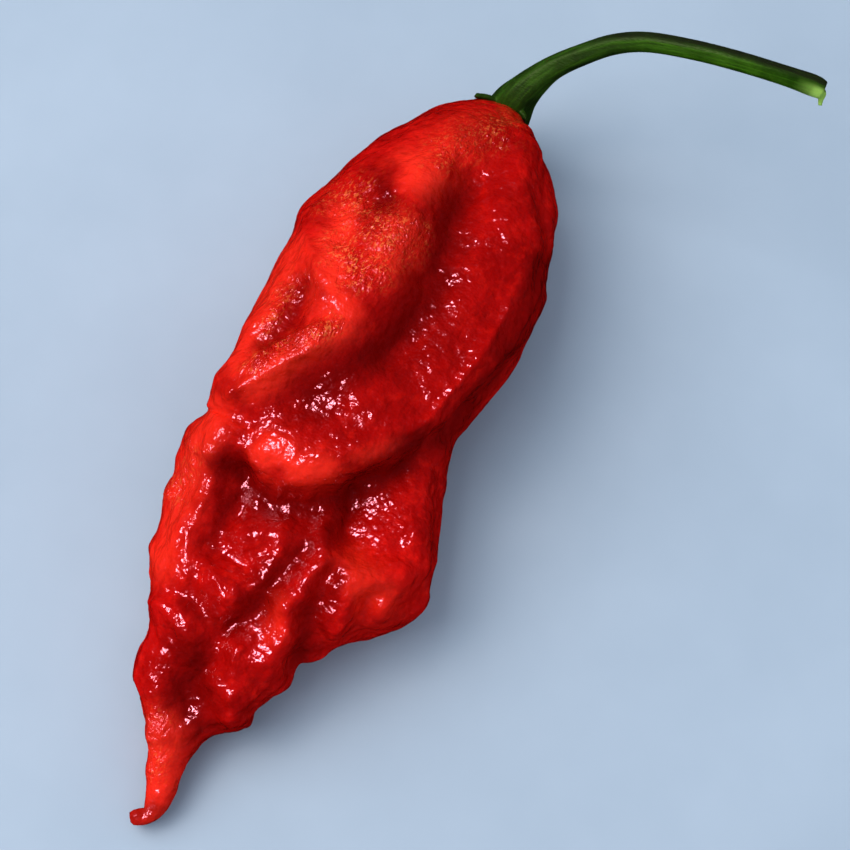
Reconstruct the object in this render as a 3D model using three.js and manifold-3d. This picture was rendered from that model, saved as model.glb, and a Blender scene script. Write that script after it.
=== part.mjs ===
// A ripe superhot chilli pepper as picked: a long, gnarled red pod lying on its belly, and the green
// stem that it hung from, which flares into a toothed calyx on the pod's shoulder.
// Millimetres, +Z up. The pod lies along Y with its tail at -Y, on the level plane z = 0.
import * as THREE from "three";
import { mergeVertices } from "three/addons/utils/BufferGeometryUtils.js";
import Module from "manifold-3d";

// Driving dimensions
const DATUM = 8; // height of the level plane on which the outline and the relief are drawn
const VIEWPOINT = new THREE.Vector3(43.6, -66.7, 204.6); // the eye that sees them there
const RING_STEP = 0.87; // spacing of the pod's rings along its length
const UPPER_SIDES = 34; // points of a ring above its widest line
const LOWER_SIDES = 18; // points of a ring below it
const BOXINESS = 0.9; // exponent of a ring's outline above that line: 1 is an ellipse, less is squarer
const GAP = 0.3; // clear space between the pod and the calyx
const CALYX_THICKNESS = 0.6;
const CALYX_RADIUS = 2.8;
const TOOTH_LENGTH = 2.1;
const TOOTH_CURL = 0.5; // how far a tooth's tip stands off the pod
const TOOTH_COUNT = 5;
const FIRST_TOOTH = -18; // degrees round from the right
const STEM_SIDES = 15;
const STEM_STEPS = 46;
const STEM_FLUTING = 0.07; // height of the stem's five lengthwise ribs, as a share of its radius

// The pod's outline from the tip of its tail to its shoulder, as seen on the datum plane:
// each row is a section's left end and right end, x and y.
const OUTLINE = [
  [1.3, -42.1, 1.35, -42.9],
  [1.75, -41.7, 1.8, -43.3],
  [2.0, -41.5, 2.9, -42.85],
  [1.85, -41.1, 3.65, -41.9],
  [1.6, -40.4, 4.0, -40.5],
  [1.1, -39.3, 3.95, -39.0],
  [0.3, -38.0, 3.7, -37.3],
  [-0.3, -36.6, 3.6, -36.0],
  [-1.2, -35.0, 3.75, -34.8],
  [-2.2, -33.5, 4.1, -33.5],
  [-3.3, -32.3, 4.9, -32.2],
  [-4.5, -31.1, 6.3, -31.2],
  [-5.3, -29.7, 7.2, -30.3],
  [-5.7, -28.2, 7.0, -28.9],
  [-5.8, -26.6, 7.8, -27.0],
  [-6.6, -24.8, 8.55, -25.3],
  [-7.4, -22.8, 8.65, -23.0],
  [-8.9, -20.9, 9.9, -21.8],
  [-9.8, -19.0, 10.8, -19.9],
  [-10.1, -16.8, 12.7, -18.3],
  [-10.7, -15.0, 14.2, -16.9],
  [-11.6, -13.2, 16.1, -14.8],
  [-11.6, -11.0, 16.9, -12.6],
  [-12.0, -8.5, 16.0, -9.6],
  [-12.5, -6.0, 15.3, -6.8],
  [-10.8, -3.6, 14.2, -3.8],
  [-11.1, -1.5, 13.2, -1.1],
  [-11.5, 0.8, 12.3, 1.8],
  [-11.6, 3.5, 12.0, 4.3],
  [-12.1, 6.5, 12.6, 7.4],
  [-12.1, 10.0, 13.3, 10.5],
  [-12.6, 14.0, 13.8, 14.3],
  [-12.8, 18.0, 13.4, 18.0],
  [-13.3, 21.5, 13.2, 21.5],
  [-12.3, 25.0, 12.2, 25.0],
  [-11.5, 28.5, 11.1, 28.4],
  [-10.2, 32.0, 10.4, 31.7],
  [-8.4, 35.0, 8.4, 34.6],
  [-6.7, 37.7, 6.4, 36.7],
  [-5.1, 39.2, 4.3, 38.0],
  [-3.7, 40.2, 2.9, 39.1],
  [-2.2, 40.9, 2.1, 40.4],
  [-0.9, 41.15, 0.9, 41.0],
];

// The side profile: y as in the outline, the heights of the underside, the widest line and the top
// there, and how far the top lies left of the section's middle, in half widths.
const PROFILE = [
  [-43.5, 0.9, 1.6, 2.4, 0],
  [-40, 0.5, 2.0, 3.6, 0.05],
  [-36, 0.3, 2.8, 5.6, 0.1],
  [-32, 0.2, 3.8, 7.9, 0.1],
  [-28, 0.2, 4.8, 10.0, 0.05],
  [-22, 0.2, 6.0, 12.6, 0.05],
  [-14, -0.1, 7.0, 15.0, 0.1],
  [-7, -0.5, 7.8, 17.0, 0.2],
  [0, -0.8, 8.4, 19.2, 0.35],
  [10, -0.9, 9.0, 20.6, 0.35],
  [20, -0.7, 9.4, 20.8, 0.25],
  [28, 0.1, 9.8, 19.6, 0.15],
  [34, 1.8, 10.2, 17.4, 0.08],
  [37.2, 3.6, 10.5, 15.8, 0],
  [39.2, 5.2, 10.8, 14.4, 0],
  [40.6, 7.4, 11.0, 13.2, 0],
  [41.2, 9.4, 11.1, 12.2, 0],
];

// Relief of the upper side, drawn on the datum plane. A ridge stands out along a line by rise and
// fades within spread; a negative rise is a furrow, and a line of one point is a knob or a dent.
const UPPER_RIDGES = [
  // the crest that runs from the shoulder to the left rim, and the folds left of it
  { line: [[-1, 37], [-3, 33], [-3.6, 27], [-3.6, 20], [-3.4, 14], [-3.9, 10.4]], rise: 0.8, spread: 2.8 },
  { line: [[-5.3, 7.8], [-7.8, 3.4], [-9.6, 0.4], [-11.2, -2.4]], rise: 1.2, spread: 1.7 },
  { line: [[-13, 20], [-10.4, 16.6], [-7.6, 13.6], [-6.4, 12.4]], rise: 0.8, spread: 1.8 },
  { line: [[-11.6, 13], [-11.8, 8], [-11.2, 4], [-11.2, 0.5]], rise: 0.5, spread: 1.2 },
  { line: [[-9.6, 12.4], [-8.8, 8.8], [-9.4, 5.6]], rise: -0.9, spread: 2.0 },
  { line: [[-10.6, 22.5], [-9, 19.5]], rise: -0.5, spread: 1.8 },
  { line: [[-2.4, 29.6], [-5, 30]], rise: 0.5, spread: 2.2 },
  { line: [[-8.6, 25], [-6, 26]], rise: -0.6, spread: 1.6 },
  // the hollow band right of the crest, and the long ridge above the right flank
  { line: [[1, 30], [2, 23], [2.6, 16], [1.8, 10]], rise: -2.0, spread: 3.2 },
  { line: [[3.6, 31], [6.4, 27], [7.6, 21], [7.8, 14]], rise: 0.6, spread: 2.6 },
  {
    line: [[3, 38.6], [5.2, 32.4], [8.4, 27], [9.9, 21.4], [10.2, 17.7], [10, 14.3], [9.1, 9.4], [8.4, 5.5]],
    rise: 1.5,
    spread: 1.9,
  },
  { line: [[12.4, 22], [12.8, 18.5], [12.4, 14.5], [11.4, 10.5], [11.8, 6]], rise: 0.5, spread: 1.1 },
  { line: [[6.2, 9.4], [5.4, 4.2]], rise: 0.7, spread: 2.4 },
  { line: [[0.6, 6.8]], rise: 0.4, spread: 2.4 },
  { line: [[-3.4, 1.8]], rise: -0.8, spread: 3.0 },
  { line: [[-4, -4.4], [-1, -4.9], [2, -2.8], [4.6, -0.2], [6.4, 3]], rise: 0.9, spread: 2.2 },
  // the left rim and its steep flank
  {
    line: [[-9.2, -4.6], [-8.3, -7.2], [-7.6, -11], [-7.3, -15.7], [-6.4, -18.6], [-5.7, -22.4]],
    rise: 1.0,
    spread: 1.3,
  },
  { line: [[-5.4, -23.4], [-4.9, -26.4], [-4, -29.4], [-2.4, -32], [-0.6, -34.8]], rise: 0.7, spread: 1.2 },
  { line: [[-10.6, -9], [-10, -13]], rise: -0.5, spread: 1.2 },
  // the knobs and furrows of the lower half, left to right
  { line: [[-5.6, -8.6], [-5.2, -12.4]], rise: -1.0, spread: 1.4 },
  { line: [[-3, -13.6], [0, -12.5]], rise: 1.1, spread: 1.5 },
  { line: [[-5.2, -16.4], [-2.4, -16.8], [0, -17]], rise: -0.6, spread: 1.1 },
  { line: [[-4, -17.6], [-2, -18.9], [-0.2, -19.9]], rise: 1.4, spread: 1.4 },
  { line: [[-5, -21.8], [-2.2, -22.8], [0.2, -23.6]], rise: -0.7, spread: 1.1 },
  { line: [[-3.6, -23.4], [-2.4, -24.9], [-1, -26.4]], rise: 1.3, spread: 1.3 },
  { line: [[0.2, -27], [0, -29.4], [1.6, -31]], rise: -1.6, spread: 2.1 },
  { line: [[1, -11.5], [1.4, -14.6], [1, -17.6]], rise: 0.7, spread: 1.2 },
  { line: [[3.4, -12.6], [2.6, -16], [2.2, -19.6], [1, -22.6]], rise: -0.9, spread: 1.5 },
  { line: [[4.4, -18.4], [5.4, -21.1], [6, -24]], rise: 1.2, spread: 1.4 },
  { line: [[2.6, -24.2], [3.2, -26.4], [4, -28.6]], rise: 0.9, spread: 1.2 },
  { line: [[5.6, -27], [5, -30.6]], rise: 0.6, spread: 1.0 },
  { line: [[4.6, -10.6], [5.6, -13.2], [5.6, -16]], rise: 0.9, spread: 1.3 },
  { line: [[7.4, -13.6], [7.4, -17.4], [8, -21.6]], rise: -0.9, spread: 1.3 },
  { line: [[9.8, -15.8], [10, -18.6]], rise: 0.6, spread: 1.1 },
  { line: [[11.6, -14.6], [12, -17.4]], rise: -0.9, spread: 1.1 },
  { line: [[13.6, -14.6]], rise: 0.6, spread: 1.2 },
  // the right lobe: its rim, the hollow inside the rim, and the ridge to its corner
  { line: [[10.6, 2], [11.8, -2.6], [12.8, -6], [13.8, -9.4]], rise: 1.3, spread: 1.7 },
  { line: [[6.4, -4.6], [8.2, -9]], rise: -1.9, spread: 2.2 },
  { line: [[13.6, -11.4], [12, -12.2], [10, -13.2], [8.4, -14]], rise: 0.9, spread: 1.4 },
];

// A ledge drops away to the right of its line, going along it: by drop within width. The ground comes
// back within reach, and the ledge runs out towards both ends of its line.
const UPPER_LEDGES = [
  {
    line: [[-6.6, -4.6], [-4.8, -6.3], [-2, -7], [0.6, -6], [2.6, -4.2], [4.4, -2.2], [6.2, 0], [7.5, 2.2], [8.3, 4.8]],
    crest: 0,
    drop: 2.6,
    width: 2.6,
    reach: 6.5,
  },
  {
    line: [[7.4, 2], [8.3, 4.8], [9.2, 7.4], [10, 9.6], [10.4, 13], [10, 17]],
    crest: 0.2,
    drop: 1.8,
    width: 1.8,
    reach: 2.8,
  },
];

// Relief of the underside, drawn in plan.
const LOWER_RIDGES = [
  { line: [[-7.5, 33], [-8.4, 22], [-7, 12], [-8.2, 2]], rise: -1.7, spread: 1.8 },
  { line: [[7.5, 31], [8.2, 20], [7.2, 9], [9.5, -2]], rise: -1.8, spread: 1.9 },
  { line: [[-11, 5], [-6, 1], [-1, -3]], rise: -1.2, spread: 1.4 },
  { line: [[12, 16], [8, 13.5], [4.5, 13.5]], rise: -1.1, spread: 1.3 },
  { line: [[-12, 17], [-8, 15], [-5, 16]], rise: 0.8, spread: 1.4 },
  { line: [[11, -5], [7, -9], [4, -14], [3, -21]], rise: -1.4, spread: 1.4 },
  { line: [[-9, -8], [-5, -12], [-3, -18], [-1, -25]], rise: -1.2, spread: 1.3 },
  { line: [[-2, 33]], rise: -0.9, spread: 2.4 },
  { line: [[1, -28]], rise: -0.8, spread: 1.8 },
];

// The stem's middle line: x and y as seen on the datum plane, and its true height.
const STEM_PATH = [
  [0.4, 40.4, 7.8],
  [0.45, 41.6, 9.6],
  [0.7, 43.0, 11.4],
  [1.3, 45.0, 13.0],
  [2.4, 47.5, 14.6],
  [4.3, 50.1, 16.3],
  [7.0, 53.0, 18.4],
  [10.2, 54.9, 20.0],
  [15.0, 56.2, 21.4],
  [20.0, 57.05, 22.2],
  [25.0, 57.6, 22.3],
  [28.2, 57.8, 21.9],
  [29.4, 57.7, 21.7],
];
// The stem's radius at shares of its length.
const STEM_RADIUS = [
  [0, 2.5],
  [0.05, 2.25],
  [0.1, 1.9],
  [0.15, 1.6],
  [0.22, 1.25],
  [0.3, 1.12],
  [0.45, 1.03],
  [0.7, 1.0],
  [0.94, 1.0],
  [0.98, 1.1],
  [1, 0.92],
];
// The shred of peel left hanging where the stem was cut.
const SHRED_PATH = [
  [28.9, 57.9, 21.4],
  [29.5, 57.4, 21.2],
  [29.6, 56.6, 20.7],
  [29.8, 55.9, 20.4],
];
const SHRED_RADIUS = [
  [0, 0.45],
  [0.6, 0.3],
  [1, 0.12],
];

// Small helpers

const smooth = (low, high, value) => THREE.MathUtils.smoothstep(value, low, high);

// A Catmull-Rom curve through the rows of a table, at a row number that needn't be whole.
function alongRows(rows, at) {
  const i = Math.min(Math.floor(at), rows.length - 2);
  const t = at - i;
  const row = (k) => rows[THREE.MathUtils.clamp(k, 0, rows.length - 1)];
  return rows[i].map((_, c) => {
    const [a, b, d, e] = [row(i - 1)[c], row(i)[c], row(i + 1)[c], row(i + 2)[c]];
    return b + 0.5 * t * (d - a + t * (2 * a - 5 * b + 4 * d - e + t * (3 * (b - d) + e - a)));
  });
}

// The same, where the first column rises and says where on the curve the value is wanted.
function lookUp(rows, key) {
  const k = THREE.MathUtils.clamp(key, rows[0][0], rows.at(-1)[0]);
  let i = 0;
  while (i < rows.length - 2 && rows[i + 1][0] < k) i += 1;
  return alongRows(rows, i + (k - rows[i][0]) / (rows[i + 1][0] - rows[i][0]));
}

// The true place, at height z, of a point that is seen at (x, y) on the datum plane.
function fromSeen(x, y, z) {
  const t = (VIEWPOINT.z - z) / (VIEWPOINT.z - DATUM);
  return new THREE.Vector3(
    VIEWPOINT.x + (x - VIEWPOINT.x) * t,
    VIEWPOINT.y + (y - VIEWPOINT.y) * t,
    z,
  );
}

// Where on the datum plane the point p is seen.
function toSeen(p) {
  const t = (VIEWPOINT.z - DATUM) / (VIEWPOINT.z - p.z);
  return [VIEWPOINT.x + (p.x - VIEWPOINT.x) * t, VIEWPOINT.y + (p.y - VIEWPOINT.y) * t];
}

// How far (x, y) is from a line of points, positive on the right of its direction, and the share of
// the line's points that lie before the nearest place.
function nearestOn(line, x, y) {
  let best = { distance: Infinity, share: 0 };
  line.forEach(([ax, ay], i) => {
    const [bx, by] = line[i + 1] ?? line[i];
    const [dx, dy] = [bx - ax, by - ay];
    const length2 = dx * dx + dy * dy;
    const t = length2 ? THREE.MathUtils.clamp(((x - ax) * dx + (y - ay) * dy) / length2, 0, 1) : 0;
    const [ox, oy] = [x - ax - dx * t, y - ay - dy * t];
    const distance = Math.hypot(ox, oy) * (dx * oy - dy * ox > 0 ? -1 : 1);
    if (Math.abs(distance) < Math.abs(best.distance) - 1e-9) {
      best = { distance, share: (i + t) / Math.max(line.length - 1, 1) };
    }
  });
  return best;
}

// Smooth noise from -1 to 1 with one hill or hollow in about every cell of a unit grid.
function noise(x, y, z) {
  const value = (i, j, k) => {
    let h = Math.imul(i, 374761393) ^ Math.imul(j, 668265263) ^ Math.imul(k, 2147483647 - 61);
    h = Math.imul(h ^ (h >>> 13), 1274126177);
    return ((h ^ (h >>> 16)) >>> 0) / 2147483648 - 1;
  };
  const [i, j, k] = [x, y, z].map(Math.floor);
  const [u, v, w] = [x - i, y - j, z - k].map((t) => t * t * (3 - 2 * t));
  const mix = THREE.MathUtils.lerp;
  const edge = (b, c) => mix(value(i, b, c), value(i + 1, b, c), u);
  return mix(mix(edge(j, k), edge(j + 1, k), v), mix(edge(j, k + 1), edge(j + 1, k + 1), v), w);
}

// The pod

function ridgeRelief(ridges, x, y) {
  return ridges.reduce((sum, { line, rise, spread }) => {
    const { distance } = nearestOn(line, x, y);
    return sum + rise * Math.exp(-((distance / spread) ** 2));
  }, 0);
}

function ledgeRelief(ledges, x, y) {
  return ledges.reduce((sum, { line, crest, drop, width, reach }) => {
    const { distance: d, share } = nearestOn(line, x, y);
    const strength = smooth(0, 0.2, share) * (1 - smooth(0.8, 1, share));
    const lip = crest * Math.exp(-((d / width) ** 2));
    const fall = d > 0 ? drop * smooth(0, width, d) * Math.exp(-((d / reach) ** 2)) : 0;
    return sum + strength * (lip - fall);
  }, 0);
}

// A point of the pod before its relief. Angle 0 is the right end of the section and a quarter turn its top.
function smoothPoint(row, angle) {
  const [leftX, leftY, rightX, rightY] = alongRows(OUTLINE, row);
  const [, low, middle, high, lean] = lookUp(PROFILE, (leftY + rightY) / 2);
  const [c, s] = [Math.cos(angle), Math.sin(angle)];
  const power = s > 0 ? BOXINESS : 1;
  const across = 0.5 + (Math.sign(c) * Math.abs(c) ** power - (s > 0 ? lean * s : 0)) / 2;
  const z = middle + Math.sign(s) * Math.abs(s) ** power * (s > 0 ? high - middle : middle - low);
  return fromSeen(leftX + (rightX - leftX) * across, leftY + (rightY - leftY) * across, z);
}

function smoothNormal(row, angle) {
  const step = 0.02;
  const rows = [Math.max(row - step, 0), Math.min(row + step, OUTLINE.length - 1)];
  const along = smoothPoint(rows[1], angle).sub(smoothPoint(rows[0], angle));
  const round = smoothPoint(row, angle + step).sub(smoothPoint(row, angle - step));
  return along.cross(round).normalize();
}

function podPoint(row, angle) {
  const p = smoothPoint(row, angle);
  const normal = smoothNormal(row, angle);
  const girth = smooth(-43, -24, p.y); // the thin tail has little relief
  const shoulder = 1 - smooth(35, 39, p.y); // and so has the seat of the calyx
  const rise = Math.sin(angle);
  const upper = smooth(-0.45, 0.3, rise);
  const [seenX, seenY] = toSeen(p);
  const x = seenX + 0.5 * noise(p.x / 2.1 + 11, p.y / 2.4, p.z / 2.1);
  const y = seenY + 0.5 * noise(p.x / 2.1, p.y / 2.4 + 5, p.z / 2.1);
  const swells = noise(p.x / 8 + 3, p.y / 9, p.z / 8) * 0.8 * Math.abs(rise);
  const knobs = noise(p.x / 2.6, p.y / 3, p.z / 2.6) * (0.2 + 0.3 * (1 - smooth(-16, 0, p.y)));
  const creases = noise(p.x / 2.2 + 7, p.y / 7, p.z / 2.2) * 0.45 * (1 - Math.abs(normal.z));
  const relief =
    upper * (ridgeRelief(UPPER_RIDGES, x, y) + ledgeRelief(UPPER_LEDGES, x, y)) +
    (1 - upper) * ridgeRelief(LOWER_RIDGES, p.x, p.y) * girth +
    (swells + knobs + creases) * (0.2 + 0.8 * girth);
  // the outline is drawn as it is seen, so relief gives way where the skin turns out of sight
  const facing = Math.abs(normal.dot(VIEWPOINT.clone().sub(p).normalize()));
  const edge = 0.35 + 0.65 * smooth(0, 0.45, facing);
  p.addScaledVector(normal, relief * shoulder * edge);
  p.z = Math.max(p.z, 0); // it rests on its flattened belly
  return p;
}

// A closed surface over rings of points, each end drawn together in one point.
function closedOverRings(rings, first, last) {
  const sides = rings[0].length;
  const points = [...rings.flat(), first, last];
  const index = [];
  rings.slice(1).forEach((_, r) => {
    for (let a = 0; a < sides; a += 1) {
      const b = (a + 1) % sides;
      const [p, q] = [r * sides, (r + 1) * sides];
      index.push(p + a, q + b, p + b, p + a, q + a, q + b);
    }
  });
  const end = (rings.length - 1) * sides;
  for (let a = 0; a < sides; a += 1) {
    const b = (a + 1) % sides;
    index.push(points.length - 2, a, b, points.length - 1, end + b, end + a);
  }
  const geometry = new THREE.BufferGeometry().setFromPoints(points);
  geometry.setIndex(index);
  return geometry;
}

const middleOf = (ring) =>
  ring.reduce((sum, p) => sum.add(p), new THREE.Vector3()).divideScalar(ring.length);

function podGeometry() {
  const rows = [];
  OUTLINE.slice(1).forEach((row, i) => {
    const before = OUTLINE[i];
    const advance = Math.hypot(row[0] + row[2] - before[0] - before[2], row[1] + row[3] - before[1] - before[3]) / 2;
    const steps = Math.max(1, Math.round(advance / RING_STEP));
    for (let k = 0; k < steps; k += 1) rows.push(i + k / steps);
  });
  rows.push(OUTLINE.length - 1);
  const angles = [];
  for (let k = 0; k < UPPER_SIDES; k += 1) angles.push((Math.PI * k) / UPPER_SIDES);
  for (let k = 0; k < LOWER_SIDES; k += 1) angles.push(Math.PI * (1 + k / LOWER_SIDES));
  const rings = rows.map((row) => angles.map((angle) => podPoint(row, angle).toArray()));
  const asVectors = rings.map((ring) => ring.map((p) => new THREE.Vector3(...p)));
  const tip = middleOf(asVectors[0]).add(new THREE.Vector3(-0.3, 0, 0));
  const crown = middleOf(asVectors.at(-1)).add(new THREE.Vector3(0, 0.15, 0));
  return closedOverRings(asVectors, tip, crown);
}

// The stem and its calyx

// How far along Y the pod reaches at (x, z).
function shoulderAt(pod, x, z) {
  const ray = new THREE.Raycaster(new THREE.Vector3(x, 80, z), new THREE.Vector3(0, -1, 0));
  return ray.intersectObject(pod)[0].point.y;
}

function calyxGeometry(pod, centre) {
  const rounds = 60;
  const shares = [1, 0.9, 0.76, 0.58, 0.36];
  const toothAt = (angle) => {
    const fromTooth = angle - THREE.MathUtils.degToRad(FIRST_TOOTH);
    return (1 - Math.abs(Math.sin((TOOTH_COUNT * fromTooth) / 2))) ** 0.8;
  };
  const edge = (angle) => CALYX_RADIUS + TOOTH_LENGTH * toothAt(angle) + 0.25 * noise(angle * 3, 4, 9);
  const ring = (share, lift) =>
    Array.from({ length: rounds }, (_, k) => {
      const angle = (2 * Math.PI * k) / rounds;
      const r = edge(angle) * share;
      const [x, z] = [centre.x + r * Math.cos(angle), centre.z + r * Math.sin(angle)];
      const curl = TOOTH_CURL * toothAt(angle) * share ** 6;
      return new THREE.Vector3(x, shoulderAt(pod, x, z) + lift + curl, z);
    });
  const under = shares.map((share) => ring(share, -GAP)).reverse();
  const over = shares.map((share) => ring(share * 0.98, GAP + CALYX_THICKNESS * (0.7 + 0.5 * (1 - share))));
  const poleOf = (lift) => new THREE.Vector3(centre.x, shoulderAt(pod, centre.x, centre.z) + lift, centre.z);
  return closedOverRings([...under, ...over], poleOf(-GAP), poleOf(GAP + 1.4 * CALYX_THICKNESS));
}

// A ribbed round stalk along a curve.
function stalkGeometry(curve, radii, steps, sides, fluting) {
  const frames = curve.computeFrenetFrames(steps, false);
  const rings = Array.from({ length: steps + 1 }, (_, i) => {
    const share = i / steps;
    const centre = curve.getPointAt(share);
    const radius = lookUp(radii, share)[1];
    return Array.from({ length: sides }, (_unused, k) => {
      const angle = (-2 * Math.PI * k) / sides;
      const r = radius * (1 + fluting * Math.cos(5 * angle));
      return centre
        .clone()
        .addScaledVector(frames.normals[i], r * Math.cos(angle))
        .addScaledVector(frames.binormals[i], r * Math.sin(angle));
    });
  });
  return closedOverRings(rings, curve.getPointAt(0), curve.getPointAt(1));
}

// The shape of a geometry whose skin has moved out by a margin.
function swollen(geometry, margin) {
  const larger = geometry.clone();
  const { position, normal } = larger.attributes;
  for (let i = 0; i < position.count; i += 1) {
    position.setXYZ(
      i,
      position.getX(i) + margin * normal.getX(i),
      position.getY(i) + margin * normal.getY(i),
      position.getZ(i) + margin * normal.getZ(i),
    );
  }
  return larger;
}

const wasm = await Module();
wasm.setup();

function solidFrom(geometry) {
  const bare = geometry.clone();
  bare.deleteAttribute("normal");
  bare.deleteAttribute("uv");
  const merged = mergeVertices(bare, 1e-4);
  return new wasm.Manifold(
    new wasm.Mesh({
      numProp: 3,
      vertProperties: merged.attributes.position.array,
      triVerts: new Uint32Array(merged.index.array),
    }),
  );
}

function geometryFrom(solid) {
  const { vertProperties, triVerts } = solid.getMesh();
  const geometry = new THREE.BufferGeometry();
  geometry.setAttribute("position", new THREE.BufferAttribute(vertProperties, 3));
  geometry.setIndex(new THREE.BufferAttribute(triVerts, 1));
  geometry.computeVertexNormals();
  return geometry;
}

const skin = new THREE.MeshStandardMaterial({ color: 0xc40c08, roughness: 0.32, metalness: 0, side: THREE.DoubleSide });
const pod = new THREE.Mesh(podGeometry(), skin);
pod.name = "pod";
pod.geometry.computeVertexNormals();
pod.updateMatrixWorld();

const curveThrough = (path) => new THREE.CatmullRomCurve3(path.map(([x, y, z]) => fromSeen(x, y, z)));
const stemCurve = curveThrough(STEM_PATH);
const stemBase = stemCurve.getPointAt(0);
const stalk = solidFrom(stalkGeometry(stemCurve, STEM_RADIUS, STEM_STEPS, STEM_SIDES, STEM_FLUTING));
const shred = solidFrom(stalkGeometry(curveThrough(SHRED_PATH), SHRED_RADIUS, 6, 6, 0));
const grown = solidFrom(calyxGeometry(pod, stemBase)).add(stalk).add(shred);
const stemSolid = grown
  .subtract(solidFrom(swollen(pod.geometry, GAP)))
  .decompose()
  .sort((a, b) => b.volume() - a.volume())[0];
const bark = new THREE.MeshStandardMaterial({ color: 0x2f5a17, roughness: 0.5, metalness: 0 });
const stem = new THREE.Mesh(geometryFrom(stemSolid), bark);
stem.name = "stem_with_calyx";

// The part's own frame: the middle of its box, on the surface that it lies on.
const pepper = new THREE.Group();
pepper.add(pod, stem);
const box = new THREE.Box3().setFromObject(pepper, true);
pepper.position.set(-(box.min.x + box.max.x) / 2, -(box.min.y + box.max.y) / 2, 0);

const part = new THREE.Group();
part.add(pepper);
export default part;
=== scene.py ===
# The looks of a ripe superhot chilli pepper that lies on a pale surface, on its CAD frame.
import math

import bpy
import numpy as np
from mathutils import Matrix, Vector
from mathutils.bvhtree import BVHTree


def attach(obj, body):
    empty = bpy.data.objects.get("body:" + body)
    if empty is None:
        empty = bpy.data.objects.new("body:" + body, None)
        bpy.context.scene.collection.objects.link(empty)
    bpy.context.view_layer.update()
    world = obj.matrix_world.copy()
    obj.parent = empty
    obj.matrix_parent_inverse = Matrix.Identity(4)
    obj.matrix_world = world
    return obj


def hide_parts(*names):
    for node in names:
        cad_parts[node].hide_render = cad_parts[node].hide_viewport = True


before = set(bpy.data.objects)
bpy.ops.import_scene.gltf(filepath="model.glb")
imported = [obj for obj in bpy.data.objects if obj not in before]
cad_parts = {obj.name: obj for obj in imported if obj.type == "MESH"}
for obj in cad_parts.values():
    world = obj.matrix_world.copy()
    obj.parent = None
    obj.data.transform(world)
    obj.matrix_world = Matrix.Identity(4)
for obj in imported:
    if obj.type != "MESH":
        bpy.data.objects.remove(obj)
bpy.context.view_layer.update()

MM = 0.001
DRAWING_ORIGIN = np.array([-8.718, -3.761, 0.0])  # the drawing's origin in the part's frame, in mm
DATUM = 8.0  # height of the level plane on which outline and relief are drawn
VIEWPOINT = np.array([43.6, -66.7, 204.6])  # the eye that sees them there

# The fineness of the pod's surface, as points along and round
ALONG = 340
UPPER_ROUND = 186
LOWER_ROUND = 90
BOXINESS = 0.9  # exponent of a ring's outline above its widest line: 1 is an ellipse, less is squarer

# The pod's outline from the tip of its tail to its shoulder: left end x and y, right end x and y
OUTLINE = np.array(
    [
        [1.3, -42.1, 1.35, -42.9],
        [1.75, -41.7, 1.8, -43.3],
        [2.0, -41.5, 2.9, -42.85],
        [1.85, -41.1, 3.65, -41.9],
        [1.6, -40.4, 4.0, -40.5],
        [1.1, -39.3, 3.95, -39.0],
        [0.3, -38.0, 3.7, -37.3],
        [-0.3, -36.6, 3.6, -36.0],
        [-1.2, -35.0, 3.75, -34.8],
        [-2.2, -33.5, 4.1, -33.5],
        [-3.3, -32.3, 4.9, -32.2],
        [-4.5, -31.1, 6.3, -31.2],
        [-5.3, -29.7, 7.2, -30.3],
        [-5.7, -28.2, 7.0, -28.9],
        [-5.8, -26.6, 7.8, -27.0],
        [-6.6, -24.8, 8.55, -25.3],
        [-7.4, -22.8, 8.65, -23.0],
        [-8.9, -20.9, 9.9, -21.8],
        [-9.8, -19.0, 10.8, -19.9],
        [-10.1, -16.8, 12.7, -18.3],
        [-10.7, -15.0, 14.2, -16.9],
        [-11.6, -13.2, 16.1, -14.8],
        [-11.6, -11.0, 16.9, -12.6],
        [-12.0, -8.5, 16.0, -9.6],
        [-12.5, -6.0, 15.3, -6.8],
        [-10.8, -3.6, 14.2, -3.8],
        [-11.1, -1.5, 13.2, -1.1],
        [-11.5, 0.8, 12.3, 1.8],
        [-11.6, 3.5, 12.0, 4.3],
        [-12.1, 6.5, 12.6, 7.4],
        [-12.1, 10.0, 13.3, 10.5],
        [-12.6, 14.0, 13.8, 14.3],
        [-12.8, 18.0, 13.4, 18.0],
        [-13.3, 21.5, 13.2, 21.5],
        [-12.3, 25.0, 12.2, 25.0],
        [-11.5, 28.5, 11.1, 28.4],
        [-10.2, 32.0, 10.4, 31.7],
        [-8.4, 35.0, 8.4, 34.6],
        [-6.7, 37.7, 6.4, 36.7],
        [-5.1, 39.2, 4.3, 38.0],
        [-3.7, 40.2, 2.9, 39.1],
        [-2.2, 40.9, 2.1, 40.4],
        [-0.9, 41.15, 0.9, 41.0],
    ]
)

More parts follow.
